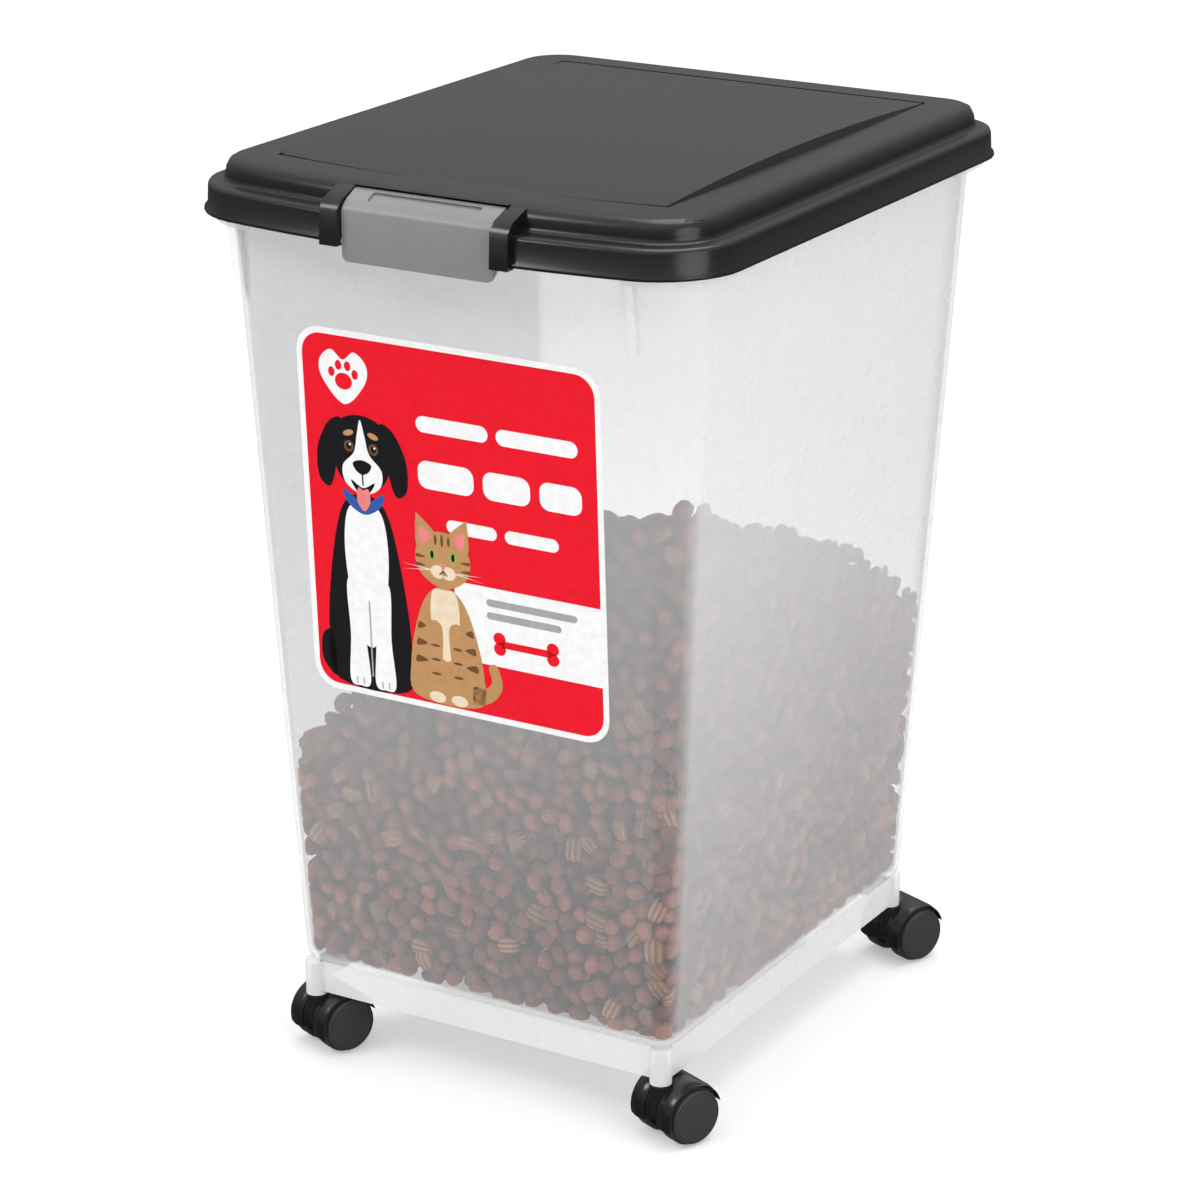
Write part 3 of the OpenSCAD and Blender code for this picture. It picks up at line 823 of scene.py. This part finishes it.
    # Sitting cat
    cat = -8
    cat_body = [(-32, -118), (-36, -94), (-29, -62), (-20, -44), (-8, -38),
                (4, -44), (13, -62), (20, -94), (16, -118)]
    add("tan", 7, curve(cat_body))
    cat_tail = [(12, -116), (26, -112), (34, -100), (30, -86), (24, -88), (26, -98), (20, -104), (12, -104)]
    add("tan", 7, curve(cat_tail))
    for v, width in ((-70, 6), (-82, 8), (-94, 9)):
        start = -34 + (v + 118) * 0.10
        stripe = [(start, v), (start + width, v + 2.4), (start + 1, v + 5)]
        add("brown", 8, curve(stripe))
        add("brown", 8, curve(mirrored(stripe, cat)))
    cat_chest = [(-17, -42), (-8, -40), (1, -42), (3, -62), (-2, -84), (-8, -90), (-14, -84), (-19, -62)]
    add("cream", 8, curve(cat_chest))
    for middle_u in (-16.5, 0.5):
        leg = [(-5.5, -66), (5.5, -66), (5, -96), (6.5, -116), (0, -120), (-6.5, -116), (-5, -96)]
        add("tan", 9, curve([(middle_u + u, v) for u, v in leg]))
        add("cream", 10, oval(middle_u, -116.5, 6.4, 3.8))
        for v in (-80, -90, -100):
            add("brown", 10, oval(middle_u, v, 3.6, 1.0))
    cat_ear = [(-27, -14), (-27.5, 8), (-25, 9), (-12, -4)]
    inner_ear = [(-24, -10), (-24.6, 2), (-16, -5)]
    for ring in (cat_ear, mirrored(cat_ear, cat)):
        add("tan", 10, curve(ring, 3))
    for ring in (inner_ear, mirrored(inner_ear, cat)):
        add("pink", 10.6, curve(ring, 3))
    cat_head = [(-8, 0), (-22, -4), (-29, -18), (-24, -32), (-8, -39), (8, -32), (13, -18), (6, -4)]
    add("tan", 10.3, curve(cat_head))
    for u, tall in ((-13, 7), (-8, 9), (-3, 7)):
        add("brown", 11, oval(u, -6, 1.1, tall / 2))
    for side in (0, 1):
        for v in (-20, -26):
            mark = [(-28, v), (-21, v + 1), (-28, v + 2.4)]
            add("brown", 11, curve(mirrored(mark, cat) if side else mark, 3))
    for u in (-16, 0):
        add("green", 11, oval(u, -16.5, 3.6, 3.1))
        add("black", 11.6, oval(u, -16.5, 1.3, 2.7))
    for u in (-12, -4):
        add("cream", 11, oval(u, -28, 5.6, 4.6))
    add("pink", 12, curve([(-10.4, -22.4), (-5.6, -22.4), (-8, -26)], 3))
    for side in (-1, 1):
        add("brown", 12, curve([(cat, -26.5), (cat + side * 3.6, -30), (cat + side * 0.4, -28.6)], 3))
        for rise in (-3, 1):
            tip = cat + side * 31
            add("white", 12, [(cat + side * 9, -27.6), (tip, -27 + rise), (cat + side * 9, -27.1)][::side])

    step = (max(ns) - min(ns)) / 12.5
    meshes = {ink: bmesh.new() for ink in INKS}
    limit_u = half_w - 0.2
    limit_v = half_h - 0.2
    for ink, level, ring in shapes:
        bm = meshes[ink]
        if level > 1:
            ring = [(min(max(u, -limit_u), limit_u), min(max(v, -limit_v), limit_v)) for u, v in ring]
        turn = sum(a[0] * b[1] - b[0] * a[1] for a, b in zip(ring, ring[1:] + ring[:1]))
        if turn < 0:
            ring = ring[::-1]
        at = [middle + Vector((1, 0, 0)) * (u * MM) + up * (v * MM) for u, v in ring]
        top = [bm.verts.new(p + out * (step * level)) for p in at]
        low = [bm.verts.new(p + out * (step * max(level - 2.0, 0.02))) for p in at]
        bm.faces.new(top)
        bm.faces.new(low[::-1])
        for i in range(len(at)):
            j = (i + 1) % len(at)
            bm.faces.new((top[i], low[i], low[j], top[j]))
    for ink, bm in meshes.items():
        bmesh.ops.recalc_face_normals(bm, faces=bm.faces)
        bmesh.ops.triangulate(bm, faces=[f for f in bm.faces if len(f.verts) > 4])
        mesh = bpy.data.meshes.new(f"label_{ink}")
        bm.to_mesh(mesh)
        bm.free()
        piece(f"label_{ink}", mesh, "tub", printed_paper(f"print_{ink}", INKS[ink]),
              ["label"] if ink == "white" else ())


build_label()

# ---------------------------------------------------------------- floor, light and camera


def floor():
    mesh = new_mesh("floor", [(-30, -30, 0), (30, -30, 0), (30, 30, 0), (-30, 30, 0)], [(0, 1, 2, 3)])
    obj = bpy.data.objects.new("floor", mesh)
    scene.collection.objects.link(obj)
    n = Nodes("pale_floor")
    n.set(Base_Color=n.ramp(n.noise(0.6, 2.0), (0.3, (0.66, 0.66, 0.66)), (0.7, (0.68, 0.68, 0.68))))
    n.set(Emission_Color=(1, 1, 1, 1), Emission_Strength=0.34)
    n.set(Roughness=n.remap(n.noise(3.0, 2.0), 0.3, 0.7, 0.75, 0.85), Specular_IOR_Level=0.1)
    mesh.materials.append(n.material)
    obj.visible_glossy = False


def area_light(name, place, target, size, power):
    data = bpy.data.lights.new(name, "AREA")
    data.shape = "DISK"
    data.size = size
    data.energy = power
    obj = bpy.data.objects.new(name, data)
    scene.collection.objects.link(obj)
    obj.location = place
    obj.rotation_euler = (Vector(target) - Vector(place)).to_track_quat("-Z", "Y").to_euler()


floor()
low, high = (Vector(v) for v in cad_box)
middle = (low + high) / 2
area_light("key", (-1.6, -2.2, 2.6), middle, 1.0, 30)
area_light("fill", (2.7, -0.9, 1.5), middle, 2.0, 24)
area_light("top", (0.2, 0.4, 3.0), middle, 2.2, 38)

world = bpy.data.worlds.new("soft_white")
scene.world = world
world.use_nodes = True
# A white dome that dims towards the horizon and is dark below it, so the black plastic keeps its contrast
tree = world.node_tree
back = tree.nodes["Background"]
direction = tree.nodes.new("ShaderNodeTexCoord")
parts = tree.nodes.new("ShaderNodeSeparateXYZ")
dome = tree.nodes.new("ShaderNodeValToRGB")
tree.links.new(direction.outputs["Generated"], parts.inputs[0])
scaled = tree.nodes.new("ShaderNodeMapRange")
scaled.inputs["From Min"].default_value = -1.0
tree.links.new(parts.outputs["Z"], scaled.inputs["Value"])
tree.links.new(scaled.outputs["Result"], dome.inputs["Fac"])
tree.links.new(dome.outputs["Color"], back.inputs["Color"])
# Each stop of the dome is a height, from straight down to straight up, and a brightness
DOME = ((0.0, 0.06), (0.47, 0.10), (0.53, 0.26), (0.70, 0.47), (1.0, 1.45))
stops = dome.color_ramp.elements
for place, _ in DOME[1:-1]:
    stops.new(place)
for stop, (place, level) in zip(stops, DOME):
    stop.position = place
    stop.color = (level, level, level, 1)
back.inputs["Strength"].default_value = 1.0
# The backdrop itself is plain white
plain = tree.nodes.new("ShaderNodeBackground")
plain.inputs["Color"].default_value = (1, 1, 1, 1)
seen = tree.nodes.new("ShaderNodeLightPath")
choose = tree.nodes.new("ShaderNodeMixShader")
tree.links.new(seen.outputs["Is Camera Ray"], choose.inputs["Fac"])
tree.links.new(back.outputs["Background"], choose.inputs[1])
tree.links.new(plain.outputs["Background"], choose.inputs[2])
tree.links.new(choose.outputs["Shader"], tree.nodes["World Output"].inputs["Surface"])

LENS = 113.4
# Degrees below the horizon, and degrees turned left of straight back
LOOKING_DOWN = 19.335
TURNED_LEFT = 30.594
camera_data = bpy.data.cameras.new("camera")
camera_data.lens = LENS
camera_data.sensor_width = 36
camera = bpy.data.objects.new("camera", camera_data)
scene.collection.objects.link(camera)
camera.location = (1.2437, -2.11455, 1.1647)
camera.rotation_euler = (math.radians(90 - LOOKING_DOWN), 0, math.radians(TURNED_LEFT))
scene.camera = camera
scene.view_settings.view_transform = "Standard"
